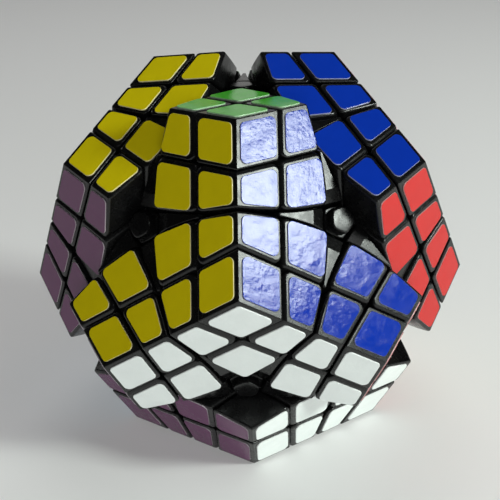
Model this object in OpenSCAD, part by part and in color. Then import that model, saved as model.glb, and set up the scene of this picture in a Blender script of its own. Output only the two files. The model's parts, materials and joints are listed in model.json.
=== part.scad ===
// Dodecahedron twisty puzzle, four layers on every edge, standing on one pentagonal face.
// Three wide layers (left, right and base) are each turned about half a step from their home position.
// The origin is the middle of the core, where all the turning axes meet, and +Z points up.

/* [Body] */
// Length of one edge of the dodecahedron
edge_len = 40; // [39:0.5:42]
// Depth of the outer layer below its face
layer_depth = 10.1; // [9.6:0.1:10.6]
// Clearance between neighbouring pieces
piece_gap = 0.3; // [0.25:0.05:0.35]
// Angle by which each wide cut stops short of the edge midpoints
wide_cut_relief = 0.35; // [0.3:0.05:0.45]

/* [Turned layers] */
// Turn of the left wide layer about its outward axis
left_turn = 39.5; // [-180:0.1:180]
// Turn of the right wide layer about its outward axis
right_turn = -36; // [-180:0.1:180]
// Turn of the base wide layer about its outward axis
base_turn = -37.4; // [-180:0.1:180]

/* [Stickers] */
// Thickness of a sticker
sticker_t = 0.3; // [0.2:0.05:0.4]
// Bare plastic between a sticker and the outer edge of its piece
sticker_edge_margin = 1.0; // [0.8:0.1:1.4]
// Bare plastic between a sticker and a layer cut
sticker_cut_margin = 1.2; // [1.0:0.1:1.5]
// Distance from the face centre to the inner corner of a centre sticker
sticker_tip_r = 5.8; // [5.6:0.1:6.4]
// Radius of the sticker corners
sticker_corner_r = 1.3; // [0.8:0.1:1.5]

/* [Mechanism] */
// Radius of the hidden ball that the outer pieces slide over
ball_r = 38.5; // [38.3:0.1:38.6]
// Radius at which the hidden pieces step out to their feet
foot_r = 34; // [33.5:0.1:34.5]
// Radius of the hollow inside the hidden pieces
hollow_r = 28.5; // [27:0.5:29]
// Radius of the round top of the caps in the face centres
cap_r = 3.15; // [3:0.05:3.3]
// Depth of the spacers between the centre pieces below the face
spacer_drop = 0.8; // [0.6:0.1:1.2]
// Radius of the screw shanks
screw_r = 1.45; // [1.3:0.05:1.5]
// Distance from the core to the end of its arms
arm_end = 21.2; // [20:0.1:21.2]

/* [Hidden] */
$fn = 64;

// Regular dodecahedron: angles between the axes, and distances from the middle of the solid.
face_angle = acos(1 / sqrt(5));
ring_el = 90 - face_angle;
fifth = 72;
half_fifth = fifth / 2;
inradius = edge_len * sqrt((25 + 11 * sqrt(5)) / 40);
apothem = edge_len / (2 * tan(half_fifth));
mid_edge_angle = 90 - atan(apothem / inradius);

// Layer cuts
half_gap = piece_gap / 2;
cut_h = inradius - layer_depth;
cut_line = apothem - layer_depth / sin(face_angle);
wide_angle = mid_edge_angle - wide_cut_relief;
reach = 75;
fine_steps = 180;

// Hidden pieces: the cones that part them, above and below the foot step
running_gap = 0.3;
shell_inset_angle = 4.6;
foot_step_angle = 2.5;
shell_angle = wide_angle - shell_inset_angle;
foot_angle = shell_angle + foot_step_angle;
gap_angle = 0.45;
slide_r = ball_r + running_gap;
hub_flange_angle = face_angle - shell_angle - gap_angle;

// Spacers: the upright end by the cap, the slope down to it, and the tilt of the underside
nose_r = 7.5;
nose_slope = 18;
end_x = 4.25;
spacer_w = 8;
spacer_tilt = 15;

// Hub, cap, screw and spring along a face axis
overlap = 0.5;
hub_r = 3.5;
hub_floor_t = 2;
hub_bottom = arm_end + running_gap;
hub_shelf = hub_bottom + hub_floor_t;
hub_seat = 38;
bore_r = 2.7;
plug_h = 2;
cap_stem_r = 3.3;
cap_base_r = 3.45;
cap_flat_r = 3.0;
cap_drop = 0.05;
rim_flat_r = 3.6;
rim_r = 4.3;
rim_drop = 2.3;
rim_h = 1.2;
shank_gap = 0.05;
spring_outer_r = 2.35;
spring_wire = 0.5;
washer_t = 0.5;
head_bottom = 33;
head_h = 1.6;
recess_w = 0.6;
recess_depth = 0.9;
core_r = 12;
arm_r = 3.4;
screw_start = 7;

// Faces are numbered from the top down: top, upper ring, lower ring, base.
TOP = 0;
BASE = 11;
LEFT = 5;
RIGHT = 3;
turned_faces = [LEFT, RIGHT, BASE];
function upper(i) = 1 + i % 5;
function lower(i) = 6 + i % 5;
faces = concat(
    [[0, 90]],
    [for (i = [0:4]) [-126 + fifth * i, ring_el]],
    [for (i = [0:4]) [-162 + fifth * i, -ring_el]],
    [[0, -90]]
);

// One cell stands at each vertex. It names its three faces anticlockwise as seen from outside.
cells = concat(
    [for (i = [0:4]) [TOP, upper(i), upper(i + 1)]],
    [for (i = [0:4]) [upper(i), lower(i + 1), upper(i + 1)]],
    [for (i = [0:4]) [upper(i), lower(i), lower(i + 1)]],
    [for (i = [0:4]) [BASE, lower(i + 1), lower(i)]]
);
function on(cell, face) = len(search(face, cell)) > 0;
function from(cell, k) = [cell[k], cell[(k + 1) % 3], cell[(k + 2) % 3]];
function is_fixed(cell) = !on(cell, LEFT) && !on(cell, RIGHT) && !on(cell, BASE);
fixed_cells = [for (c = cells) if (is_fixed(c)) c];
fixed_views = [for (c = fixed_cells) for (k = [0:2]) from(c, k)];
function cells_on(face) = [for (c = cells) for (k = [0:2]) if (c[k] == face) from(c, k)];
fixed_edges = [
    for (c = cells) for (k = [0:2])
        let (v = from(c, k))
            if (v[0] < v[1] && len([for (t = turned_faces) if (t == v[0] || t == v[1]) t]) == 0) v
];
fixed_faces = [for (f = [0:11]) if (len([for (t = turned_faces) if (t == f) t]) == 0) f];

// Direction of a face, and the azimuth of one face as seen along another
function direction(f) = [cos(faces[f][1]) * cos(faces[f][0]), cos(faces[f][1]) * sin(faces[f][0]), sin(faces[f][1])];
function local_x(f) = [sin(faces[f][1]) * cos(faces[f][0]), sin(faces[f][1]) * sin(faces[f][0]), -cos(faces[f][1])];
function local_y(f) = [-sin(faces[f][0]), cos(faces[f][0]), 0];
function azimuth(f, other) = atan2(direction(other) * local_y(f), direction(other) * local_x(f));

module facing(f) {
    rotate([0, 90 - faces[f][1], faces[f][0]]) children();
}

// Puts a shape made for a cell whose faces are +Z, the one at azimuth 0 and the one at azimuth 72
module placed(view) {
    facing(view[0]) rotate([0, 0, azimuth(view[0], view[1])]) children();
}

module turned(f, angle) {
    facing(f) rotate([0, 0, angle]) rotate([0, faces[f][1] - 90, 0]) rotate([0, 0, -faces[f][0]]) children();
}

module second_face() {
    rotate([0, face_angle, 0]) children();
}

module third_face() {
    rotate([0, face_angle, fifth]) children();
}

module opposite_third_face() {
    rotate([0, face_angle, -fifth]) children();
}

module slab(low, high) {
    translate([-reach, -reach, low]) cube([2 * reach, 2 * reach, high - low]);
}

module outer_slab() {
    slab(cut_h + half_gap, inradius);
}

module inner_slab() {
    slab(0, cut_h - half_gap);
}

module wide_cone(half_angle) {
    cylinder(h = reach, r1 = 0, r2 = reach * tan(half_angle));
}

// Outer pieces of one cell
module corner_piece() {
    intersection() {
        outer_slab();
        second_face() outer_slab();
        third_face() outer_slab();
    }
}

// Lies on the edge between the first two faces
module edge_piece() {
    intersection() {
        outer_slab();
        second_face() outer_slab();
        third_face() inner_slab();
        third_face() wide_cone(wide_angle);
    }
}

// Lies on the first face, next to its middle
module centre_piece() {
    difference() {
        intersection() {
            outer_slab();
            second_face() inner_slab();
            third_face() inner_slab();
            second_face() wide_cone(wide_angle);
            third_face() wide_cone(wide_angle);
        }
        sphere(r = slide_r);
    }
}

// Fills the wedge between two centre pieces of the first face, on the side of the second
module spacer() {
    half_spacer();
    mirror([0, 1, 0]) half_spacer();
}

module half_spacer() {
    difference() {
        intersection() {
            spacer_block();
            cube(reach);
        }
        third_face() wide_cone(wide_angle + gap_angle, $fn = fine_steps);
    }
}

module spacer_block() {
    spacer_top = inradius - spacer_drop;
    intersection() {
        translate([end_x, -spacer_w / 2, cut_h + half_gap])
            cube([apothem, spacer_w, spacer_top - cut_h - half_gap]);
        second_face() inner_slab();
        rotate([0, spacer_tilt, 0]) slab(slide_r, reach);
        translate([nose_r, 0, spacer_top]) rotate([0, -nose_slope, 0]) slab(-reach, 0);
    }
}

// Hidden corner: a stem between the hidden edges, a foot below them and a lip above them
module three_cones(half_angle) {
    intersection() {
        wide_cone(half_angle);
        second_face() wide_cone(half_angle);
        third_face() wide_cone(half_angle);
    }
}

module three_inner_slabs() {
    intersection() {
        inner_slab();
        second_face() inner_slab();
        third_face() inner_slab();
    }
}

module hidden_corner() {
    intersection() {
        three_cones(shell_angle);
        difference() {
            union() {
                sphere(r = ball_r);
                three_inner_slabs();
            }
            sphere(r = hollow_r);
        }
    }
    difference() {
        intersection() {
            three_cones(foot_angle);
            sphere(r = foot_r - half_gap);
        }
        sphere(r = hollow_r);
    }
    difference() {
        intersection() {
            three_cones(wide_angle);
            three_inner_slabs();
        }
        sphere(r = slide_r);
    }
}

// Hidden edge: lies below the edge between the first two faces, from one hub to the next
module edge_shell(outer_r, own_angle, end_angle) {
    difference() {
        intersection() {
            sphere(r = outer_r);
            wide_cone(own_angle);
            second_face() wide_cone(own_angle);
        }
        sphere(r = hollow_r);
        third_face() wide_cone(end_angle + gap_angle);
        opposite_third_face() wide_cone(end_angle + gap_angle);
    }
}

module hidden_edge() {
    difference() {
        edge_shell(ball_r, shell_angle, shell_angle);
        intersection() {
            sphere(r = foot_r + half_gap);
            third_face() wide_cone(foot_angle + gap_angle);
        }
        intersection() {
            sphere(r = foot_r + half_gap);
            opposite_third_face() wide_cone(foot_angle + gap_angle);
        }
    }
    edge_shell(foot_r - half_gap, foot_angle, foot_angle);
}

// Hub of one face: a flange over the feet of the hidden pieces, on a barrel that holds the spring
module hub() {
    difference() {
        union() {
            translate([0, 0, hub_bottom]) cylinder(h = hub_seat - hub_bottom, r = hub_r);
            intersection() {
                wide_cone(hub_flange_angle);
                sphere(r = ball_r);
                slab(foot_r + half_gap, ball_r);
            }
        }
        translate([0, 0, hub_shelf]) cylinder(h = ball_r, r = bore_r);
        cylinder(h = ball_r, r = screw_r + shank_gap);
        translate([0, 0, hub_seat]) cylinder(h = ball_r, r = cap_stem_r + half_gap);
    }
}

// Cap that closes the hub over its screw: a plug, a stem, a five-sided rim and a button flush with the face
module hub_cap() {
    rim_top = inradius - rim_drop;
    button_h = rim_drop - cap_drop;
    translate([0, 0, hub_seat - plug_h]) cylinder(h = plug_h + overlap, r = bore_r - shank_gap);
    translate([0, 0, hub_seat]) cylinder(h = rim_top - hub_seat, r = cap_stem_r);
    intersection() {
        translate([0, 0, rim_top - rim_h]) cylinder(h = rim_h, r = rim_r);
        pentagon(rim_flat_r);
    }
    intersection() {
        translate([0, 0, rim_top]) cylinder(h = button_h, r1 = cap_base_r, r2 = cap_r);
        pentagon(cap_flat_r);
    }
}

// Prism with a flat side towards each neighbouring face
module pentagon(flat_r) {
    rotate([0, 0, half_fifth]) cylinder(h = reach, r = flat_r / cos(half_fifth), $fn = 5);
}

module screw() {
    recess_middle = head_bottom + head_h - recess_depth / 2 + overlap;
    recess_h = recess_depth + 2 * overlap;
    translate([0, 0, screw_start]) cylinder(h = head_bottom - screw_start + overlap, r = screw_r);
    difference() {
        translate([0, 0, head_bottom]) cylinder(h = head_h, r = spring_outer_r);
        translate([0, 0, recess_middle]) {
            cube([2 * screw_r, recess_w, recess_h], center = true);
            cube([recess_w, 2 * screw_r, recess_h], center = true);
        }
    }
}

module ring(low, high, inner_r, outer_r) {
    difference() {
        translate([0, 0, low]) cylinder(h = high - low, r = outer_r);
        cylinder(h = reach, r = inner_r);
    }
}

// Sticker outlines, in a face's own plane with +X towards the cell's vertex
function unit(v) = v / norm(v);
function heading(v) = atan2(v[1], v[0]);
function fillet(before, corner, after, r, steps = 4) =
    let (
        u = unit(before - corner),
        w = unit(after - corner),
        half = acos(u * w) / 2,
        middle = corner + unit(u + w) * r / sin(half),
        start = heading(corner + u * r / tan(half) - middle),
        sweep = (heading(corner + w * r / tan(half) - middle) - start + 540) % 360 - 180
    )
    [for (i = [0:steps]) middle + r * [cos(start + sweep * i / steps), sin(start + sweep * i / steps)]];
function rounded(points, r) = [
    for (i = [0:len(points) - 1])
        each fillet(points[(i + len(points) - 1) % len(points)], points[i], points[(i + 1) % len(points)], r)
];

// Crossing of the line x cos(t1) + y sin(t1) = d1 with the one of angle t2 and distance d2
function crossing(t1, d1, t2, d2) =
    [d1 * sin(t2) - d2 * sin(t1), d2 * cos(t1) - d1 * cos(t2)] / sin(t2 - t1);

edge_side = apothem - sticker_edge_margin;
outer_side = cut_line + sticker_cut_margin;
inner_side = cut_line - sticker_cut_margin;
cell_side = -sticker_cut_margin;
to_edge = half_fifth;
to_neighbour = half_fifth + 90;

corner_outline = [
    crossing(-to_edge, edge_side, to_edge, edge_side),
    crossing(to_edge, edge_side, -to_edge, outer_side),
    crossing(-to_edge, outer_side, to_edge, outer_side),
    crossing(-to_edge, edge_side, to_edge, outer_side)
];
edge_outline = [
    crossing(to_edge, edge_side, -to_edge, inner_side),
    crossing(to_edge, edge_side, to_neighbour, cell_side),
    crossing(to_edge, outer_side, to_neighbour, cell_side),
    crossing(to_edge, outer_side, -to_edge, inner_side)
];
centre_outline = [
    crossing(-to_edge, inner_side, to_edge, inner_side),
    crossing(to_edge, inner_side, to_neighbour, cell_side),
    [sticker_tip_r, 0],
    crossing(-to_edge, inner_side, -to_neighbour, cell_side)
];

module sticker(outline) {
    rotate([0, 0, half_fifth]) translate([0, 0, inradius])
        linear_extrude(height = sticker_t) polygon(rounded(outline, sticker_corner_r));
}

module corner_sticker() {
    sticker(corner_outline);
}

// On the edge shared with the third face
module third_edge_sticker() {
    sticker(edge_outline);
}

// On the edge shared with the second face
module second_edge_sticker() {
    sticker([for (i = [3:-1:0]) [edge_outline[i][0], -edge_outline[i][1]]]);
}

module centre_sticker() {
    sticker(centre_outline);
}

module cell_stickers() {
    corner_sticker();
    second_edge_sticker();
    third_edge_sticker();
    centre_sticker();
}

// All the stickers of one face that belong to the cells in their home position
module fixed_stickers(f) {
    for (v = fixed_views) if (v[0] == f) placed(v) cell_stickers();
}

// Sets of pieces on a turned layer. A view starts at the layer's own face.
module set_of_hub(f) {
    facing(f) hub();
}

module set_of_caps(f) {
    placed(cells_on(f)[0]) hub_cap();
}

module set_of_hidden_pieces(f) {
    for (v = cells_on(f)) placed(v) {
        hidden_edge();
        hidden_corner();
    }
}

// On the five faces round the layer's own face
module set_of_inner_spacers(f) {
    for (v = cells_on(f)) placed([v[1], f]) spacer();
}

module set_of_outer_spacers(f) {
    for (v = cells_on(f)) placed(v) spacer();
}

module set_of_inner_edges(f) {
    for (v = cells_on(f)) placed(from(v, 1)) edge_piece();
}

module set_of_inner_centres(f) {
    for (v = cells_on(f)) for (k = [1:2]) placed(from(v, k)) centre_piece();
}

module set_of_outer_corners(f) {
    for (v = cells_on(f)) placed(v) corner_piece();
}

module set_of_outer_edges(f) {
    for (v = cells_on(f)) for (k = [0, 2]) placed(from(v, k)) edge_piece();
}

module set_of_outer_centres(f) {
    for (v = cells_on(f)) placed(v) centre_piece();
}

module set_of_face_stickers(f) {
    for (v = cells_on(f)) placed(v) cell_stickers();
}

module set_of_outer_rim_stickers(f) {
    for (v = cells_on(f)) {
        placed(from(v, 1)) {
            corner_sticker();
            third_edge_sticker();
        }
        placed(from(v, 2)) {
            corner_sticker();
            second_edge_sticker();
        }
    }
}

module set_of_inner_rim_stickers(f) {
    for (v = cells_on(f)) {
        placed(from(v, 1)) {
            centre_sticker();
            second_edge_sticker();
        }
        placed(from(v, 2)) {
            centre_sticker();
            third_edge_sticker();
        }
    }
}

black = [0.05, 0.05, 0.055];
module plastic() {
    color(black) children();
}

module steel() {
    color([0.7, 0.7, 0.72]) children();
}

// Parts that stay with the core
module core() {
    plastic() difference() {
        union() {
            sphere(r = core_r);
            for (f = [0:11]) facing(f) cylinder(h = arm_end, r = arm_r);
        }
        for (f = [0:11]) facing(f) translate([0, 0, screw_start]) cylinder(h = arm_end, r = screw_r + shank_gap);
    }
}

module screws() {
    steel() for (f = [0:11]) facing(f) screw();
}

module springs() {
    steel() for (f = [0:11]) facing(f)
        ring(hub_shelf + running_gap, head_bottom - washer_t, spring_outer_r - spring_wire, spring_outer_r);
}

module washers() {
    steel() for (f = [0:11]) facing(f)
        ring(head_bottom - washer_t, head_bottom, screw_r + shank_gap, spring_outer_r);
}

module hubs() {
    plastic() for (f = fixed_faces) facing(f) hub();
}

module hub_caps() {
    plastic() for (f = fixed_faces) set_of_caps(f);
}

module hidden_edges() {
    plastic() for (v = fixed_edges) placed(v) hidden_edge();
}

module hidden_corners() {
    plastic() for (c = fixed_cells) placed(c) hidden_corner();
}

module spacers() {
    plastic() for (v = fixed_edges) {
        placed(v) spacer();
        placed([v[1], v[0]]) spacer();
    }
}

module corner_pieces() {
    plastic() for (c = fixed_cells) placed(c) corner_piece();
}

module edge_pieces() {
    plastic() for (v = fixed_views) placed(v) edge_piece();
}

module centre_pieces() {
    plastic() for (v = fixed_views) placed(v) centre_piece();
}

module yellow_stickers() {
    color([0.80, 0.72, 0.02]) fixed_stickers(upper(0));
}

module blue_stickers() {
    color([0.01, 0.12, 0.62]) fixed_stickers(upper(1));
}

module white_stickers() {
    color([0.88, 0.92, 0.90]) fixed_stickers(lower(1));
}

module light_green_stickers() {
    color([0.27, 0.72, 0.25]) fixed_stickers(TOP);
}

module purple_stickers() {
    color([0.33, 0.14, 0.33]) fixed_stickers(lower(0));
}

module red_stickers() {
    color([0.85, 0.13, 0.10]) fixed_stickers(lower(2));
}

module cream_stickers() {
    color([0.93, 0.88, 0.62]) fixed_stickers(lower(3));
}

module light_blue_stickers() {
    color([0.35, 0.68, 0.88]) fixed_stickers(lower(4));
}

module grey_stickers() {
    color([0.55, 0.56, 0.57]) fixed_stickers(upper(3));
}

orange = [0.95, 0.45, 0.08];
pink = [0.95, 0.55, 0.68];
dark_green = [0.02, 0.32, 0.14];
mixed = [0.6, 0.6, 0.6];

// Left wide layer
module left() {
    turned(LEFT, left_turn) children();
}

module left_hub() { plastic() left() set_of_hub(LEFT); }
module left_hub_cap() { plastic() left() set_of_caps(LEFT); }
module left_hidden_pieces() { plastic() left() set_of_hidden_pieces(LEFT); }
module left_inner_spacers() { plastic() left() set_of_inner_spacers(LEFT); }
module left_outer_spacers() { plastic() left() set_of_outer_spacers(LEFT); }
module left_inner_edges() { plastic() left() set_of_inner_edges(LEFT); }
module left_inner_centres() { plastic() left() set_of_inner_centres(LEFT); }
module left_outer_corners() { plastic() left() set_of_outer_corners(LEFT); }
module left_outer_edges() { plastic() left() set_of_outer_edges(LEFT); }
module left_outer_centres() { plastic() left() set_of_outer_centres(LEFT); }
module left_face_stickers() { color(orange) left() set_of_face_stickers(LEFT); }
module left_outer_rim_stickers() { color(mixed) left() set_of_outer_rim_stickers(LEFT); }
module left_inner_rim_stickers() { color(mixed) left() set_of_inner_rim_stickers(LEFT); }

// Right wide layer
module right() {
    turned(RIGHT, right_turn) children();
}

module right_hub() { plastic() right() set_of_hub(RIGHT); }
module right_hub_cap() { plastic() right() set_of_caps(RIGHT); }
module right_hidden_pieces() { plastic() right() set_of_hidden_pieces(RIGHT); }
module right_inner_spacers() { plastic() right() set_of_inner_spacers(RIGHT); }
module right_outer_spacers() { plastic() right() set_of_outer_spacers(RIGHT); }
module right_inner_edges() { plastic() right() set_of_inner_edges(RIGHT); }
module right_inner_centres() { plastic() right() set_of_inner_centres(RIGHT); }
module right_outer_corners() { plastic() right() set_of_outer_corners(RIGHT); }
module right_outer_edges() { plastic() right() set_of_outer_edges(RIGHT); }
module right_outer_centres() { plastic() right() set_of_outer_centres(RIGHT); }
module right_face_stickers() { color(pink) right() set_of_face_stickers(RIGHT); }
module right_outer_rim_stickers() { color(mixed) right() set_of_outer_rim_stickers(RIGHT); }
module right_inner_rim_stickers() { color(mixed) right() set_of_inner_rim_stickers(RIGHT); }

// Base wide layer
module base() {
    turned(BASE, base_turn) children();
}

module base_hub() { plastic() base() set_of_hub(BASE); }
module base_hub_cap() { plastic() base() set_of_caps(BASE); }
module base_hidden_pieces() { plastic() base() set_of_hidden_pieces(BASE); }
module base_inner_spacers() { plastic() base() set_of_inner_spacers(BASE); }
module base_outer_spacers() { plastic() base() set_of_outer_spacers(BASE); }
module base_inner_edges() { plastic() base() set_of_inner_edges(BASE); }
module base_inner_centres() { plastic() base() set_of_inner_centres(BASE); }
module base_outer_corners() { plastic() base() set_of_outer_corners(BASE); }
module base_outer_edges() { plastic() base() set_of_outer_edges(BASE); }
module base_outer_centres() { plastic() base() set_of_outer_centres(BASE); }
module base_face_stickers() { color(dark_green) base() set_of_face_stickers(BASE); }
module base_outer_rim_stickers() { color(mixed) base() set_of_outer_rim_stickers(BASE); }
module base_inner_rim_stickers() { color(mixed) base() set_of_inner_rim_stickers(BASE); }

core();
screws();
springs();
washers();
hubs();
hub_caps();
hidden_edges();
hidden_corners();
spacers();
corner_pieces();
edge_pieces();
centre_pieces();
yellow_stickers();
blue_stickers();
white_stickers();
light_green_stickers();
purple_stickers();
red_stickers();
cream_stickers();
light_blue_stickers();
grey_stickers();
left_hub();
left_hub_cap();
left_hidden_pieces();
left_inner_spacers();
left_outer_spacers();
left_inner_edges();
left_inner_centres();
left_outer_corners();
left_outer_edges();
left_outer_centres();
left_face_stickers();
left_outer_rim_stickers();
left_inner_rim_stickers();
right_hub();
right_hub_cap();
right_hidden_pieces();
right_inner_spacers();
right_outer_spacers();
right_inner_edges();
right_inner_centres();
right_outer_corners();
right_outer_edges();
right_outer_centres();
right_face_stickers();
right_outer_rim_stickers();
right_inner_rim_stickers();
base_hub();
base_hub_cap();
base_hidden_pieces();
base_inner_spacers();
base_outer_spacers();
base_inner_edges();
base_inner_centres();
base_outer_corners();
base_outer_edges();
base_outer_centres();
base_face_stickers();
base_outer_rim_stickers();
base_inner_rim_stickers();
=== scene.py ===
"""Dodecahedron twisty puzzle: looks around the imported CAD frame.

Lengths are in millimetres up to join(), and in metres after it. Angles are in degrees unless said.
"""

import json
import math

import bmesh
import bpy
from mathutils import Matrix, Vector


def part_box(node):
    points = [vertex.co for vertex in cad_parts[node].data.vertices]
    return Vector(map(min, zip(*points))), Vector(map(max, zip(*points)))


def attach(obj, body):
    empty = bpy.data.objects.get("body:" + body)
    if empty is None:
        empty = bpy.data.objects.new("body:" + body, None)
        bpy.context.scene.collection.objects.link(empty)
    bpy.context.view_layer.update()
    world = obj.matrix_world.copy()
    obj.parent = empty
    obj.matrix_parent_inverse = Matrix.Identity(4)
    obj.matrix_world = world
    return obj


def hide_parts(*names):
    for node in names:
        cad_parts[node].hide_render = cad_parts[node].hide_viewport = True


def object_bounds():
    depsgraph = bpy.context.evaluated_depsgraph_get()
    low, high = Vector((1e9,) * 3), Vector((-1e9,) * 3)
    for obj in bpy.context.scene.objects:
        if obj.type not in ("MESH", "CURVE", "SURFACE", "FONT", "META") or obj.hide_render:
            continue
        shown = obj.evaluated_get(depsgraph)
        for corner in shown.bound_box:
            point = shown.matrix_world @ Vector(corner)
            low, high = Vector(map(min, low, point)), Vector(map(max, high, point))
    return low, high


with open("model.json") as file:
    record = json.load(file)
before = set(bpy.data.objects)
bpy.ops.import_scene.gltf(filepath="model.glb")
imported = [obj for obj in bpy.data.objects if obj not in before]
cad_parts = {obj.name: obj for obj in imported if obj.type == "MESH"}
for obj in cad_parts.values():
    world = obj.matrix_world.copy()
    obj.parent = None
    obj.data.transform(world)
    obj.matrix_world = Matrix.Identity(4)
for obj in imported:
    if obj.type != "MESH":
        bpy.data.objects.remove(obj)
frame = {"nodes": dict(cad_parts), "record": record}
cad_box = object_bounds()

MM = 0.001
UP = Vector((0, 0, 1))

# Sizes of the puzzle, in millimetres. The first three come from the frame, the rest repeat the
# CAD's own.
face_stickers_low, face_stickers_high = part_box("base_face_stickers")
INRADIUS = -face_stickers_high[2] / MM
STICKER_T = (face_stickers_high[2] - face_stickers_low[2]) / MM
EDGE_LEN = INRADIUS / math.sqrt((25 + 11 * math.sqrt(5)) / 40)
LAYER_DEPTH = 10.1
PIECE_GAP = 0.3
WIDE_CUT_RELIEF = 0.35
TURNS = {"left": 39.5, "right": -36, "base": -37.4}
STICKER_EDGE_MARGIN = 1.0
STICKER_CUT_MARGIN = 1.2
STICKER_TIP_R = 5.8
STICKER_CORNER_R = 1.3
SLIDE_R = 38.8
GAP_ANGLE = 0.45
SPACER_DROP = 0.8
NOSE_R = 7.5
NOSE_SLOPE = 18
SPACER_END_X = 4.25
SPACER_TILT = 15
CAP_RIM_DROP = 2.3

# Rounding that only the visual model has, in millimetres
PIECE_CORNER_R = 1.3
PIECE_RIM_R = 0.65
PIECE_FOLD_R = 0.22
SPACER_RIM_R = 0.35
SPACER_FOLD_R = 0.1
CAP_ROUNDNESS = 14

# Regular dodecahedron
FIFTH = 72
HALF_FIFTH = 36
FACE_ANGLE = math.degrees(math.acos(1 / math.sqrt(5)))
RING_EL = 90 - FACE_ANGLE
APOTHEM = EDGE_LEN / (2 * math.tan(math.radians(HALF_FIFTH)))
CUT_H = INRADIUS - LAYER_DEPTH
CUT_LINE = APOTHEM - LAYER_DEPTH / math.sin(math.radians(FACE_ANGLE))
WIDE_ANGLE = 90 - math.degrees(math.atan(APOTHEM / INRADIUS)) - WIDE_CUT_RELIEF

# Faces are numbered from the top down: top, upper ring, lower ring, base
TOP, BASE = 0, 11
UPPER = [1 + i for i in range(5)]
LOWER = [6 + i for i in range(5)]
FACES = (
    [(0, 90)]
    + [(-126 + FIFTH * i, RING_EL) for i in range(5)]
    + [(-162 + FIFTH * i, -RING_EL) for i in range(5)]
    + [(0, -90)]
)
COLOURS = [
    "light_green", "yellow", "blue", "pink", "grey", "orange",
    "purple", "white", "red", "cream", "light_blue", "dark_green",
]
LAYER_FACES = {"left": UPPER[4], "right": UPPER[2], "base": BASE}

# One cell stands at each vertex and names its three faces anticlockwise as seen from outside
CELLS = (
    [(TOP, UPPER[i], UPPER[(i + 1) % 5]) for i in range(5)]
    + [(UPPER[i], LOWER[(i + 1) % 5], UPPER[(i + 1) % 5]) for i in range(5)]
    + [(UPPER[i], LOWER[i], LOWER[(i + 1) % 5]) for i in range(5)]
    + [(BASE, LOWER[(i + 1) % 5], LOWER[i]) for i in range(5)]
)


def turn_about(axis, degrees):
    return Matrix.Rotation(math.radians(degrees), 4, axis)


def facing(face):
    azimuth, elevation = FACES[face]
    return turn_about("Z", azimuth) @ turn_about("Y", 90 - elevation)


def placed(view):
    """Takes a cell's own frame, with faces at +Z, azimuth 0 and azimuth 72, to its home place."""
    home = facing(view[0])
    other = home.inverted() @ (facing(view[1]) @ UP)
    return home @ turn_about("Z", math.degrees(math.atan2(other.y, other.x)))


def layer_of(cell):
    return next((name for name, face in LAYER_FACES.items() if face in cell), None)


def turned(layer):
    if layer is None:
        return Matrix.Identity(4)
    home = facing(LAYER_FACES[layer])
    return home @ turn_about("Z", TURNS[layer]) @ home.inverted()


def views(cell):
    return [tuple(cell[(k + i) % 3] for i in range(3)) for k in range(3)]


# ---------------------------------------------------------------- meshes

SECOND_FACE = turn_about("Y", FACE_ANGLE) @ UP
THIRD_FACE = turn_about("Z", FIFTH) @ SECOND_FACE
OPPOSITE_THIRD_FACE = turn_about("Z", -FIFTH) @ SECOND_FACE
CONE_FACETS = 120
FAR = 4 * INRADIUS
CUT_SNAP = 1e-5
CONE_SLACK = 1e-4
PLANE_SLACK = 1e-3
WELD = 0.01
WALL_FOLD = math.radians(30)


def clip(bm, normal, height):
    """Cuts away what lies beyond the plane at this height along the normal, and closes the cut."""
    normal = Vector(normal).normalized()
    cut = bmesh.ops.bisect_plane(
        bm,
        geom=bm.verts[:] + bm.edges[:] + bm.faces[:],
        dist=CUT_SNAP,
        plane_co=normal * height,
        plane_no=normal,
        clear_outer=True,
    )
    edges = [g for g in cut["geom_cut"] if isinstance(g, bmesh.types.BMEdge)]
    if len(edges) > 2:
        bmesh.ops.edgeloop_fill(bm, edges=edges)


def clip_cone(bm, axis, half_angle):
    """Cuts away what lies outside a cone with its apex at the middle, facet by facet."""
    axis = Vector(axis).normalized()
    side = axis.orthogonal().normalized()
    half = math.radians(half_angle)
    for i in range(CONE_FACETS):
        out = Matrix.Rotation(math.tau * i / CONE_FACETS, 3, axis) @ side
        normal = out * math.cos(half) - axis * math.sin(half)
        if any(v.co.dot(normal) > CONE_SLACK for v in bm.verts):
            clip(bm, normal, 0)


def touches(edge, normal, height):
    return all(abs(v.co.dot(normal) - height) < PLANE_SLACK for v in edge.verts)


def on_plane(vert, planes):
    return any(abs(vert.co.dot(n) - h) < PLANE_SLACK for n, h in planes)


def round_corners(bm, planes, radius, steps=4):
    """Rounds the outline's corners: planes touch a cylinder along each wall edge from the rim."""
    bmesh.ops.recalc_face_normals(bm, faces=bm.faces[:])
    corners = []
    for e in bm.edges:
        top = [v for v in e.verts if on_plane(v, planes)]
        if len(top) == 1 and len(e.link_faces) == 2 and e.calc_face_angle(0) > WALL_FOLD:
            n1, n2 = (f.normal.copy() for f in e.link_faces)
            corners.append((top[0].co.copy(), n1, n2))
    for corner, n1, n2 in corners:
        middle = corner - (n1 + n2) * radius / (1 + n1.dot(n2))
        for k in range(1, steps):
            n = n1.slerp(n2, k / steps).normalized()
            clip(bm, n, middle.dot(n) + radius)


def evaluated(bm, modify):
    """The mesh after modify(object) has added its modifiers."""
    mesh = bpy.data.meshes.new("blank")
    bm.to_mesh(mesh)
    blank = bpy.data.objects.new("blank", mesh)
    bpy.context.scene.collection.objects.link(blank)
    modify(blank)
    depsgraph = bpy.context.evaluated_depsgraph_get()
    result = bpy.data.meshes.new_from_object(blank.evaluated_get(depsgraph))
    bpy.data.objects.remove(blank)
    bpy.data.meshes.remove(mesh)
    bm.clear()
    bm.from_mesh(result)
    bpy.data.meshes.remove(result)
    return bm


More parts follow.
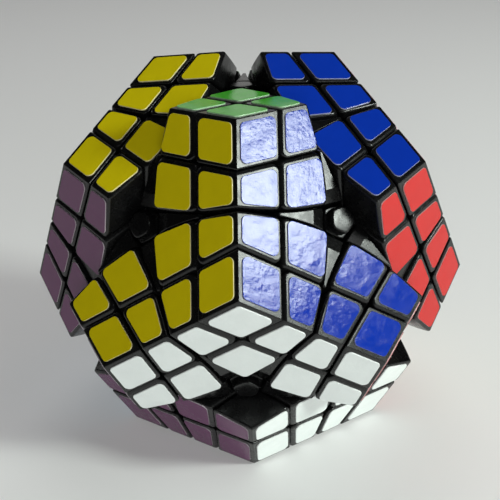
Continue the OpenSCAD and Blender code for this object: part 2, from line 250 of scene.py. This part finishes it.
def round_rims(bm, planes, rim_r, fold_r):
    """Rounds the rims of the planes, and by a smaller radius the folds between two of them."""
    bmesh.ops.remove_doubles(bm, verts=bm.verts[:], dist=WELD)
    bmesh.ops.recalc_face_normals(bm, faces=bm.faces[:])
    weight = bm.edges.layers.float.new("bevel_weight_edge")
    for e in bm.edges:
        count = sum(touches(e, n, h) for n, h in planes)
        e[weight] = (0, 1, fold_r / rim_r)[count]

    def modify(blank):
        bevel = blank.modifiers.new("Rims", "BEVEL")
        bevel.width = rim_r
        bevel.segments = 4
        bevel.limit_method = "WEIGHT"
        bevel.use_clamp_overlap = False

    return evaluated(bm, modify)


def carve(bm, cutters):
    """Takes each cutter, an object, out of the mesh."""

    def modify(blank):
        for cutter in cutters:
            cut = blank.modifiers.new("Cut", "BOOLEAN")
            cut.operation = "DIFFERENCE"
            cut.solver = "EXACT"
            cut.object = cutter

    return evaluated(bm, modify)


def cutter(name, build, matrix):
    bm = bmesh.new()
    build(bm)
    bm.transform(matrix)
    mesh = bpy.data.meshes.new(name)
    bm.to_mesh(mesh)
    bm.free()
    piece = bpy.data.objects.new(name, mesh)
    bpy.context.scene.collection.objects.link(piece)
    return piece


def cone_cutter(axis, half_angle):
    width = FAR * math.tan(math.radians(half_angle))

    def build(bm):
        bmesh.ops.create_cone(
            bm, segments=CONE_FACETS, radius1=0, radius2=width, depth=FAR, cap_ends=True
        )

    towards = axis.to_track_quat("Z", "Y").to_matrix().to_4x4()
    return cutter("cone", build, towards @ Matrix.Translation((0, 0, FAR / 2)))


def build_ball(bm):
    bmesh.ops.create_uvsphere(bm, u_segments=96, v_segments=64, radius=SLIDE_R)


ball_cutter = cutter("ball", build_ball, Matrix())
flank_cutters = [
    cone_cutter(n, WIDE_ANGLE + GAP_ANGLE) for n in (THIRD_FACE, OPPOSITE_THIRD_FACE)
]
LOWER_CUT = CUT_H - PIECE_GAP / 2
UPPER_CUT = CUT_H + PIECE_GAP / 2


def block(top):
    bm = bmesh.new()
    bmesh.ops.create_cube(bm, size=FAR)
    clip(bm, UP, top)
    clip(bm, -UP, -UPPER_CUT)
    return bm


def corner_block():
    bm = block(INRADIUS)
    for n in (SECOND_FACE, THIRD_FACE):
        clip(bm, n, INRADIUS)
        clip(bm, -n, -UPPER_CUT)
    planes = [(n, INRADIUS) for n in (UP, SECOND_FACE, THIRD_FACE)]
    round_corners(bm, planes, PIECE_CORNER_R)
    return round_rims(bm, planes, PIECE_RIM_R, PIECE_FOLD_R)


def edge_block():
    bm = block(INRADIUS)
    clip(bm, SECOND_FACE, INRADIUS)
    clip(bm, -SECOND_FACE, -UPPER_CUT)
    clip(bm, THIRD_FACE, LOWER_CUT)
    clip_cone(bm, THIRD_FACE, WIDE_ANGLE)
    planes = [(n, INRADIUS) for n in (UP, SECOND_FACE)]
    round_corners(bm, planes, PIECE_CORNER_R)
    return round_rims(bm, planes, PIECE_RIM_R, PIECE_FOLD_R)


def centre_block():
    bm = block(INRADIUS)
    for n in (SECOND_FACE, THIRD_FACE):
        clip(bm, n, LOWER_CUT)
        clip_cone(bm, n, WIDE_ANGLE)
    planes = [(UP, INRADIUS)]
    round_corners(bm, planes, PIECE_CORNER_R)
    return carve(round_rims(bm, planes, PIECE_RIM_R, PIECE_FOLD_R), [ball_cutter])


def spacer_block():
    top = INRADIUS - SPACER_DROP
    bm = block(top)
    clip(bm, SECOND_FACE, LOWER_CUT)
    clip(bm, (-1, 0, 0), -SPACER_END_X)
    tilt = math.radians(SPACER_TILT)
    clip(bm, (-math.sin(tilt), 0, -math.cos(tilt)), -SLIDE_R)
    slope = math.radians(NOSE_SLOPE)
    nose = Vector((-math.sin(slope), 0, math.cos(slope)))
    height = nose.dot(Vector((NOSE_R, 0, top)))
    clip(bm, nose, height)
    carve(bm, flank_cutters)
    return round_rims(bm, [(UP, top), (nose, height)], SPACER_RIM_R, SPACER_FOLD_R)


def walls(rings, count):
    """The four-sided faces between rings of points, count points to a ring."""
    faces = []
    for ring in range(rings - 1):
        for i in range(count):
            j = (i + 1) % count
            low, high = ring * count, (ring + 1) * count
            faces.append([low + i, low + j, high + j, high + i])
    return faces


def five_sided(flat, corner, angle):
    """Radius at an angle of a pentagon with rounded corners and a flat side at angle 0."""
    beside = (angle + HALF_FIFTH) % FIFTH - HALF_FIFTH
    side = flat / math.cos(math.radians(beside))
    return (side ** -CAP_ROUNDNESS + corner ** -CAP_ROUNDNESS) ** (-1 / CAP_ROUNDNESS)


def cap():
    """Height, flat radius and corner radius of each ring, from the stem up to the button."""
    rim = INRADIUS - CAP_RIM_DROP
    rings = [
        (38.0, 3.3, 3.3), (rim - 1.2, 3.3, 3.3), (rim - 1.2, 3.6, 4.3), (rim - 0.3, 3.6, 4.3),
        (rim - 0.1, 3.54, 4.22), (rim - 0.02, 3.42, 4.08), (rim, 3.3, 3.9), (rim, 3.1, 3.5),
        (rim + 0.3, 3.0, 3.4), (INRADIUS - 0.45, 2.97, 3.16), (INRADIUS - 0.2, 2.9, 3.1),
        (INRADIUS - 0.1, 2.76, 2.95), (INRADIUS - 0.07, 2.55, 2.72), (INRADIUS - 0.055, 1.3, 1.4),
    ]
    count = 60
    points = []
    for height, flat, corner in rings:
        for i in range(count):
            angle = 360 * i / count
            r = five_sided(flat, corner, angle)
            a = math.radians(angle)
            points.append(Vector((r * math.cos(a), r * math.sin(a), height)))
    faces = walls(len(rings), count)
    faces.append([count - 1 - i for i in range(count)])
    faces.append([(len(rings) - 1) * count + i for i in range(count)])
    return points, faces


def coil():
    """A spring on its screw: wire wound round a face axis, closed up at both ends."""
    turns, steps, sides = 7, 20, 8
    low, high, wire_r, coil_r = 24.05, 32.25, 0.24, 2.1
    points, faces = [], []
    total = turns * steps
    for k in range(total + 1):
        t = k / total
        height = low + (high - low) * (0.5 - 0.5 * math.cos(math.pi * t)) ** 0.9
        a = math.tau * turns * t
        for i in range(sides):
            b = math.tau * i / sides
            r = coil_r + wire_r * math.cos(b)
            points.append(Vector((r * math.cos(a), r * math.sin(a), height + wire_r * math.sin(b))))
    for k in range(total):
        for i in range(sides):
            j = (i + 1) % sides
            faces.append([k * sides + i, (k + 1) * sides + i, (k + 1) * sides + j, k * sides + j])
    faces.append(list(range(sides)))
    faces.append([total * sides + sides - 1 - i for i in range(sides)])
    return points, faces


def mesh_data(bm):
    bm.verts.index_update()
    faces = [[v.index for v in f.verts] for f in bm.faces]
    return [v.co.copy() for v in bm.verts], faces


def join(name, parts, materials, shade_angle=40):
    """One object out of (points, faces, material indexes, matrix) parts, from millimetres."""
    points, faces, indexes = [], [], []
    for part_points, part_faces, part_indexes, matrix in parts:
        start = len(points)
        points += [matrix @ p * MM for p in part_points]
        faces += [[start + i for i in f] for f in part_faces]
        indexes += part_indexes or [0] * len(part_faces)
    mesh = bpy.data.meshes.new(name)
    mesh.from_pydata(points, [], faces)
    for m in materials:
        mesh.materials.append(m)
    mesh.polygons.foreach_set("material_index", indexes)
    mesh.shade_smooth()
    mesh.set_sharp_from_angle(angle=math.radians(shade_angle))
    mesh.update()
    piece = bpy.data.objects.new(name, mesh)
    bpy.context.scene.collection.objects.link(piece)
    normals = piece.modifiers.new("Normals", "WEIGHTED_NORMAL")
    normals.keep_sharp = True
    normals.weight = 80
    return piece


# ---------------------------------------------------------------- sticker outlines


def crossing(angle_1, distance_1, angle_2, distance_2):
    a, b = math.radians(angle_1), math.radians(angle_2)
    scale = math.sin(b - a)
    x = (distance_1 * math.sin(b) - distance_2 * math.sin(a)) / scale
    y = (distance_2 * math.cos(a) - distance_1 * math.cos(b)) / scale
    return Vector((x, y))


def rounded(corners, radius, steps=8):
    """The outline with an arc at each corner."""
    points = []
    for i, corner in enumerate(corners):
        u = (corners[i - 1] - corner).normalized()
        w = (corners[(i + 1) % len(corners)] - corner).normalized()
        half = u.angle(w) / 2
        middle = corner + (u + w).normalized() * radius / math.sin(half)
        start = corner + u * radius / math.tan(half) - middle
        stop = corner + w * radius / math.tan(half) - middle
        first = math.atan2(start.y, start.x)
        sweep = (math.atan2(stop.y, stop.x) - first + 3 * math.pi) % math.tau - math.pi
        for k in range(steps + 1):
            angle = first + sweep * k / steps
            points.append(middle + radius * Vector((math.cos(angle), math.sin(angle))))
    return points


EDGE_SIDE = APOTHEM - STICKER_EDGE_MARGIN
OUTER_SIDE = CUT_LINE + STICKER_CUT_MARGIN
INNER_SIDE = CUT_LINE - STICKER_CUT_MARGIN
CELL_SIDE = -STICKER_CUT_MARGIN
TO_EDGE = HALF_FIFTH
TO_NEIGHBOUR = HALF_FIFTH + 90
CORNER_OUTLINE = [
    crossing(-TO_EDGE, EDGE_SIDE, TO_EDGE, EDGE_SIDE),
    crossing(TO_EDGE, EDGE_SIDE, -TO_EDGE, OUTER_SIDE),
    crossing(-TO_EDGE, OUTER_SIDE, TO_EDGE, OUTER_SIDE),
    crossing(-TO_EDGE, EDGE_SIDE, TO_EDGE, OUTER_SIDE),
]
THIRD_EDGE_OUTLINE = [
    crossing(TO_EDGE, EDGE_SIDE, -TO_EDGE, INNER_SIDE),
    crossing(TO_EDGE, EDGE_SIDE, TO_NEIGHBOUR, CELL_SIDE),
    crossing(TO_EDGE, OUTER_SIDE, TO_NEIGHBOUR, CELL_SIDE),
    crossing(TO_EDGE, OUTER_SIDE, -TO_EDGE, INNER_SIDE),
]
SECOND_EDGE_OUTLINE = [Vector((p.x, -p.y)) for p in reversed(THIRD_EDGE_OUTLINE)]
CENTRE_OUTLINE = [
    crossing(-TO_EDGE, INNER_SIDE, TO_EDGE, INNER_SIDE),
    crossing(TO_EDGE, INNER_SIDE, TO_NEIGHBOUR, CELL_SIDE),
    Vector((STICKER_TIP_R, 0)),
    crossing(-TO_EDGE, INNER_SIDE, -TO_NEIGHBOUR, CELL_SIDE),
]


def sticker(outline):
    """A vinyl tile: a thin cut side, a soft shoulder and a flat top. Material 1 is its cut edge,
    paler than the top: partly the vinyl's own light cut side, partly a painted highlight.
    """
    rim = rounded(outline, STICKER_CORNER_R)
    middle = sum(rim, Vector((0, 0))) / len(rim)
    shoulder = 0.12
    rings = [(0, 0), (0, STICKER_T - shoulder), (0.04, STICKER_T - 0.04), (shoulder, STICKER_T)]
    points = []
    count = len(rim)
    turn = turn_about("Z", HALF_FIFTH)
    for inset, height in rings:
        for p in rim:
            inward = (middle - p).normalized() * inset
            points.append(turn @ Vector((p.x + inward.x, p.y + inward.y, INRADIUS + height)))
    faces = walls(len(rings), count)
    indexes = [1] * (2 * count) + [0] * (len(faces) - 2 * count)
    faces.append([(len(rings) - 1) * count + i for i in range(count)])
    indexes.append(0)
    faces.append([count - 1 - i for i in range(count)])
    indexes.append(1)
    return points, faces, indexes


# ---------------------------------------------------------------- materials


def material(name):
    m = bpy.data.materials.new(name)
    m.use_nodes = True
    nodes, links = m.node_tree.nodes, m.node_tree.links
    shader = nodes["Principled BSDF"]
    place = nodes.new("ShaderNodeTexCoord")
    return m, nodes, links, shader, place.outputs["Object"]


def noise(nodes, links, place, scale, detail=3, roughness=0.5):
    n = nodes.new("ShaderNodeTexNoise")
    n.inputs["Scale"].default_value = scale
    n.inputs["Detail"].default_value = detail
    n.inputs["Roughness"].default_value = roughness
    links.new(place, n.inputs["Vector"])
    return n.outputs["Fac"]


def spread(nodes, links, value, low, high):
    """Maps a noise value to a range."""
    r = nodes.new("ShaderNodeMapRange")
    r.inputs["From Min"].default_value = 0.3
    r.inputs["From Max"].default_value = 0.7
    r.inputs["To Min"].default_value = low
    r.inputs["To Max"].default_value = high
    links.new(value, r.inputs["Value"])
    return r.outputs["Result"]


def blend_colours(nodes, links, factor, first, second):
    mix = nodes.new("ShaderNodeMix")
    mix.data_type = "RGBA"
    mix.inputs["A"].default_value = (*first, 1)
    mix.inputs["B"].default_value = (*second, 1)
    links.new(factor, mix.inputs["Factor"])
    return mix.outputs["Result"]


def bump(nodes, links, height, strength, distance, under=None):
    b = nodes.new("ShaderNodeBump")
    b.inputs["Strength"].default_value = strength
    b.inputs["Distance"].default_value = distance
    links.new(height, b.inputs["Height"])
    if under is not None:
        links.new(under, b.inputs["Normal"])
    return b.outputs["Normal"]


def black_plastic(name, base, low_rough, high_rough):
    m, nodes, links, shader, place = material(name)
    cloud = noise(nodes, links, place, 90)
    smear = noise(nodes, links, place, 320, 5, 0.6)
    grain = noise(nodes, links, place, 5200, 2)
    paler = tuple(c * 1.7 + 0.001 for c in base)
    shade = blend_colours(nodes, links, spread(nodes, links, cloud, 0, 1), base, paler)
    links.new(shade, shader.inputs["Base Color"])
    links.new(spread(nodes, links, smear, low_rough, high_rough), shader.inputs["Roughness"])
    waves = bump(nodes, links, noise(nodes, links, place, 260, 2), 0.12, 0.0002)
    links.new(bump(nodes, links, grain, 0.08, 0.00004, waves), shader.inputs["Normal"])
    shader.inputs["IOR"].default_value = 1.5
    return m


def vinyl(name, base):
    m, nodes, links, shader, place = material(name)
    cloud = noise(nodes, links, place, 140, 4, 0.6)
    darker = tuple(c * 0.94 for c in base)
    shade = blend_colours(nodes, links, spread(nodes, links, cloud, 0, 1), base, darker)
    links.new(shade, shader.inputs["Base Color"])
    smear = noise(nodes, links, place, 420, 5, 0.7)
    links.new(spread(nodes, links, smear, 0.08, 0.22), shader.inputs["Roughness"])
    peel = bump(nodes, links, noise(nodes, links, place, 1300, 4, 0.6), 0.45, 0.00006)
    waves = bump(nodes, links, noise(nodes, links, place, 240, 3), 0.4, 0.00028, peel)
    links.new(waves, shader.inputs["Normal"])
    shader.inputs["IOR"].default_value = 1.4
    shader.inputs["Coat Weight"].default_value = 0
    return m


record_slots = {m["slot"]: m for m in frame["record"]["materials"]}
# How much lighter or darker the vinyl is than the record's colour
TONES = {"blue": 0.73, "red": 0.72, "purple": 1.35}
STICKER_COLOURS = {
    c: tuple(TONES.get(c, 1) * x for x in record_slots[c + "_sticker"]["base_color"][:3])
    for c in COLOURS
}
zinc_steel, nodes, links, shader, place = material("zinc_steel")
brushed = spread(nodes, links, noise(nodes, links, place, 1500), 0.25, 0.45)
links.new(brushed, shader.inputs["Roughness"])
shader.inputs["Base Color"].default_value = (0.6, 0.6, 0.62, 1)
shader.inputs["Metallic"].default_value = 1
outer_plastic = black_plastic("outer_plastic", (0.0022, 0.0022, 0.0023), 0.2, 0.34)
inner_plastic = black_plastic("inner_plastic", (0.006, 0.006, 0.0065), 0.28, 0.42)
sticker_tops = {c: vinyl(c + "_vinyl", v) for c, v in STICKER_COLOURS.items()}
# The paler cut-edge colour is partly the vinyl's own light cut side and partly a painted highlight
# along each sticker's edge.
sticker_sides_with_painted_highlight = {
    c: vinyl(c + "_vinyl_edge_and_painted_highlight", tuple(0.5 * x + 0.3 for x in v)) for c, v in STICKER_COLOURS.items()
}


# ---------------------------------------------------------------- pieces

black_meshes = {}
BLOCKS = {
    "corner": corner_block,
    "edge": edge_block,
    "centre": centre_block,
    "spacer": spacer_block,
}
for kind, build in BLOCKS.items():
    bm = build()
    black_meshes[kind] = mesh_data(bm)
    bm.free()
for piece in (ball_cutter, *flank_cutters):
    bpy.data.meshes.remove(piece.data)

black_parts = {}
sticker_parts = {}
STICKER_MESHES = {
    "corner": sticker(CORNER_OUTLINE),
    "second_edge": sticker(SECOND_EDGE_OUTLINE),
    "third_edge": sticker(THIRD_EDGE_OUTLINE),
    "centre": sticker(CENTRE_OUTLINE),
}


def black_node(kind, layer, pair):
    """The CAD node that holds a piece which touches the faces in pair."""
    if layer is None:
        return f"{kind}_pieces"
    side = "outer" if LAYER_FACES[layer] in pair else "inner"
    return f"{layer}_{side}_{kind}s"


def spacer_node(face, beside):
    """The CAD node, and the layer, of the spacer on a face on the side of its neighbour."""
    for name, own in LAYER_FACES.items():
        if own == face:
            return f"{name}_outer_spacers", name
        if own == beside:
            return f"{name}_inner_spacers", name
    return "spacers", None


def sticker_node(layer, face, pair):
    if layer is None:
        return f"{COLOURS[face]}_stickers"
    if face == LAYER_FACES[layer]:
        return f"{layer}_face_stickers"
    side = "outer" if LAYER_FACES[layer] in pair else "inner"
    return f"{layer}_{side}_rim_stickers"


def add_black(node, shape, matrix):
    black_parts.setdefault(node, []).append((*shape, None, matrix))


for cell in CELLS:
    layer = layer_of(cell)
    turn = turned(layer)
    for k, view in enumerate(views(cell)):
        matrix = turn @ placed(view)
        pairs = {
            "corner": view,
            "second_edge": (view[0], view[1]),
            "third_edge": (view[2], view[0]),
            "centre": (view[0],),
        }
        if k == 0:
            add_black(black_node("corner", layer, view), black_meshes["corner"], matrix)
        node, spacer_layer = spacer_node(view[0], view[1])
        add_black(node, black_meshes["spacer"], turned(spacer_layer) @ placed(view))
        add_black(black_node("edge", layer, pairs["second_edge"]), black_meshes["edge"], matrix)
        add_black(black_node("centre", layer, pairs["centre"]), black_meshes["centre"], matrix)
        for kind, pair in pairs.items():
            key = sticker_node(layer, view[0], pair), COLOURS[view[0]]
            sticker_parts.setdefault(key, []).append((*STICKER_MESHES[kind], matrix))

for face in range(len(FACES)):
    layer = next((name for name, own in LAYER_FACES.items() if own == face), None)
    view = next(v for cell in CELLS for v in views(cell) if v[0] == face)
    node = f"{layer}_hub_cap" if layer else "hub_caps"
    add_black(node, cap(), turned(layer) @ placed(view))

bodies = frame["record"]["behaviour"]["bodies"]
node_body = {node: body for body, names in bodies.items() for node in names}

for node, parts in black_parts.items():
    piece = join(node + "_moulded", parts, [outer_plastic])
    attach(piece, node_body[node])
    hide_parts(node)

for (node, colour), parts in sticker_parts.items():
    vinyls = [sticker_tops[colour], sticker_sides_with_painted_highlight[colour]]
    piece = join(f"{node}_{colour}_vinyl", parts, vinyls, 30)
    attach(piece, node_body[node])
    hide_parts(node)

wound = [(*coil(), None, facing(face)) for face in range(len(FACES))]
coils = join("wound_springs", wound, [zinc_steel])
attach(coils, node_body["springs"])
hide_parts("springs")

# The pieces that are not replaced keep the CAD's own meshes and get soft shading
SOFT_BELOW = 32
soft = bpy.data.node_groups.new("soft_shading", "GeometryNodeTree")
soft.interface.new_socket("Geometry", in_out="INPUT", socket_type="NodeSocketGeometry")
soft.interface.new_socket("Geometry", in_out="OUTPUT", socket_type="NodeSocketGeometry")
entry = soft.nodes.new("NodeGroupInput")
leave = soft.nodes.new("NodeGroupOutput")
bend = soft.nodes.new("GeometryNodeInputMeshEdgeAngle")
gentle = soft.nodes.new("FunctionNodeCompare")
gentle.operation = "LESS_THAN"
gentle.inputs["B"].default_value = math.radians(SOFT_BELOW)
smooth_edges = soft.nodes.new("GeometryNodeSetShadeSmooth")
smooth_edges.domain = "EDGE"
smooth_faces = soft.nodes.new("GeometryNodeSetShadeSmooth")
smooth_faces.domain = "FACE"
soft.links.new(bend.outputs["Unsigned Angle"], gentle.inputs["A"])
soft.links.new(entry.outputs["Geometry"], smooth_faces.inputs["Geometry"])
soft.links.new(smooth_faces.outputs["Geometry"], smooth_edges.inputs["Geometry"])
soft.links.new(gentle.outputs["Result"], smooth_edges.inputs["Shade Smooth"])
soft.links.new(smooth_edges.outputs["Geometry"], leave.inputs["Geometry"])

for name, node in frame["nodes"].items():
    if node.hide_render:
        continue
    node.data.materials.clear()
    node.data.materials.append(zinc_steel if name in ("screws", "washers") else inner_plastic)
    shading = node.modifiers.new("Soft shading", "NODES")
    shading.node_group = soft


# ---------------------------------------------------------------- floor, lights and camera

FLOOR_Z = cad_box[0][2]
WHITE = (1, 1, 1)
DAYLIGHT = (0.9, 0.98, 0.92)


def studio_floor():
    mesh = bpy.data.meshes.new("floor")
    half = 4
    outline = [(-half, -half), (half, -half), (half, half), (-half, half)]
    mesh.from_pydata([(x, y, FLOOR_Z) for x, y in outline], [], [(0, 1, 2, 3)])
    m, nodes, links, shader, place = material("pale_floor")
    shader.inputs["Base Color"].default_value = (0.6, 0.6, 0.59, 1)
    shader.inputs["Roughness"].default_value = 0.8
    shader.inputs["Emission Color"].default_value = (1, 1, 1, 1)
    shader.inputs["Emission Strength"].default_value = 0.2
    mesh.materials.append(m)
    floor = bpy.data.objects.new("floor", mesh)
    bpy.context.scene.collection.objects.link(floor)


def outward(azimuth, elevation):
    """A direction from the middle. Azimuth 0 is in front, 90 to the right; both in radians."""
    return Vector(
        (
            math.sin(azimuth) * math.cos(elevation),
            -math.cos(azimuth) * math.cos(elevation),
            math.sin(elevation),
        )
    )


def area_light(
    name, azimuth, elevation, distance, size, watts, colour=WHITE, size_y=None, mirrored=True
):
    """A soft box round the puzzle, turned towards its middle. Unmirrored, no reflection shows it."""
    spot = outward(math.radians(azimuth), math.radians(elevation)) * distance
    data = bpy.data.lights.new(name, "AREA")
    data.shape = "RECTANGLE"
    data.size = size
    data.size_y = size_y or size
    data.energy = watts
    data.color = colour
    lamp = bpy.data.objects.new(name, data)
    lamp.visible_glossy = mirrored
    lamp.location = spot
    lamp.rotation_euler = spot.to_track_quat("Z", "Y").to_euler()
    bpy.context.scene.collection.objects.link(lamp)


def camera():
    """Stands just right of the front, looking down, with a slight roll."""
    azimuth, elevation, roll = (math.radians(v) for v in (2.647, 22.353, -2.335))
    distance, right_shift, up_shift = 260.73 * MM, 0.389 * MM, -0.312 * MM
    back = outward(azimuth, elevation)
    right = Vector((math.cos(azimuth), math.sin(azimuth), 0))
    up = back.cross(right)
    right, up = (
        right * math.cos(roll) + up * math.sin(roll),
        up * math.cos(roll) - right * math.sin(roll),
    )
    data = bpy.data.cameras.new("camera")
    data.lens = 70.35
    data.sensor_width = 36
    data.clip_start = 0.01
    cam = bpy.data.objects.new("camera", data)
    turn = Matrix((right, up, back)).transposed()
    spot = back * distance + right * right_shift + up * up_shift
    cam.matrix_world = Matrix.Translation(spot) @ turn.to_4x4()
    bpy.context.scene.collection.objects.link(cam)
    bpy.context.scene.camera = cam


def studio_world():
    """A pale wall straight behind the puzzle, and a dark room all round."""
    world = bpy.data.worlds.new("studio")
    world.use_nodes = True
    nodes, links = world.node_tree.nodes, world.node_tree.links
    place = nodes.new("ShaderNodeTexCoord")
    split = nodes.new("ShaderNodeSeparateXYZ")
    links.new(place.outputs["Generated"], split.inputs["Vector"])
    sideways = nodes.new("ShaderNodeMath")
    sideways.operation = "ABSOLUTE"
    links.new(split.outputs["X"], sideways.inputs[0])

    def fade(value, start, stop, first, last):
        r = nodes.new("ShaderNodeMapRange")
        r.interpolation_type = "SMOOTHSTEP"
        r.inputs["From Min"].default_value = start
        r.inputs["From Max"].default_value = stop
        r.inputs["To Min"].default_value = first
        r.inputs["To Max"].default_value = last
        links.new(value, r.inputs["Value"])
        return r.outputs["Result"]

    behind = fade(split.outputs["Y"], 0.3, 0.6, 0, 0.55)
    middle = fade(sideways.outputs["Value"], 0.08, 0.28, 1, 0)
    wall = nodes.new("ShaderNodeMath")
    wall.operation = "MULTIPLY_ADD"
    links.new(behind, wall.inputs[0])
    links.new(middle, wall.inputs[1])
    wall.inputs[2].default_value = 0.004
    background = nodes["Background"]
    background.inputs["Color"].default_value = (1, 0.99, 0.97, 1)
    links.new(wall.outputs["Value"], background.inputs["Strength"])
    bpy.context.scene.world = world


studio_floor()
studio_world()
area_light("low_front_box", 6, 8, 1.3, 0.6, 7.6, mirrored=False)
area_light("low_front_glint", 6, 8, 1.3, 0.3, 0.5)
area_light("right_window", 67.9, 26.2, 0.9, 0.21, 3.7, DAYLIGHT, 0.173)
area_light("right_window_fill", 67.6, 25, 0.9, 0.205, 4.9, DAYLIGHT, 0.173, mirrored=False)
area_light("right_high", 60, 58, 1.3, 0.4, 1)
area_light("back_top", 180, 60, 1.3, 0.6, 3.1, mirrored=False)
area_light("far_left", -125, 25, 1.4, 0.4, 0.6)
bpy.context.scene.view_settings.view_transform = "Standard"
camera()
